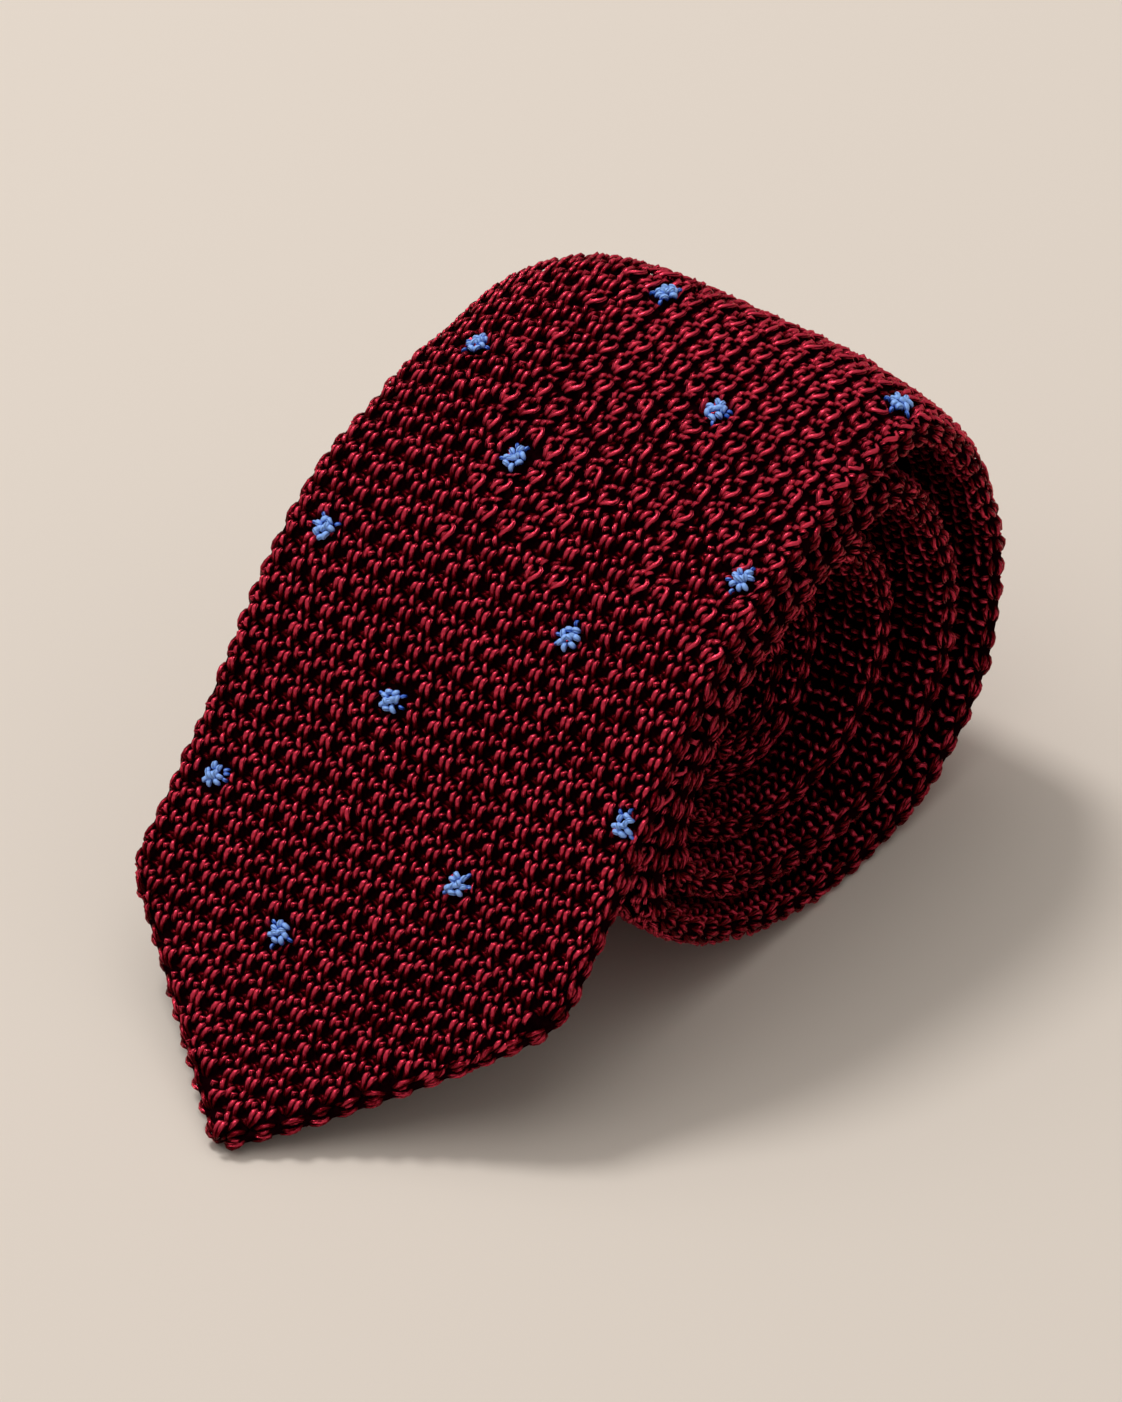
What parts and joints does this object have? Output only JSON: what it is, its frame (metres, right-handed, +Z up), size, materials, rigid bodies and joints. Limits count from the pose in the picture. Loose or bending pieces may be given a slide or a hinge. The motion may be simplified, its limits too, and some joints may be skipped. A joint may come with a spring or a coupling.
{
  "type": "knit tie",
  "caption": "Knitted tie with small raised spots, rolled up from its narrow end so that it lies on its side with the pointed wide end sloping down in front.",
  "frame": {"origin": "on the ground under the middle of the tie's box", "axes": "+Z up, X along the axis of the roll and across the cloth, and the pointed end towards -Y"},
  "size_m": [0.064, 0.126, 0.0686],
  "materials": {
    "knit_silk": "knitted silk with a soft sheen",
    "spot_yarn": "knitted silk with a soft sheen"
  },
  "bodies": {
    "root": {"front_blade": "knit_silk", "neckband": "knit_silk", "back_blade": "knit_silk", "spot_01": "spot_yarn", "spot_02": "spot_yarn", "spot_03": "spot_yarn", "spot_04": "spot_yarn", "spot_05": "spot_yarn", "spot_06": "spot_yarn", "spot_07": "spot_yarn", "spot_08": "spot_yarn", "spot_09": "spot_yarn", "spot_10": "spot_yarn", "spot_11": "spot_yarn", "spot_12": "spot_yarn", "spot_13": "spot_yarn", "spot_14": "spot_yarn", "spot_15": "spot_yarn", "spot_16": "spot_yarn", "spot_17": "spot_yarn", "spot_18": "spot_yarn", "spot_19": "spot_yarn"}
  },
  "joints": []
}
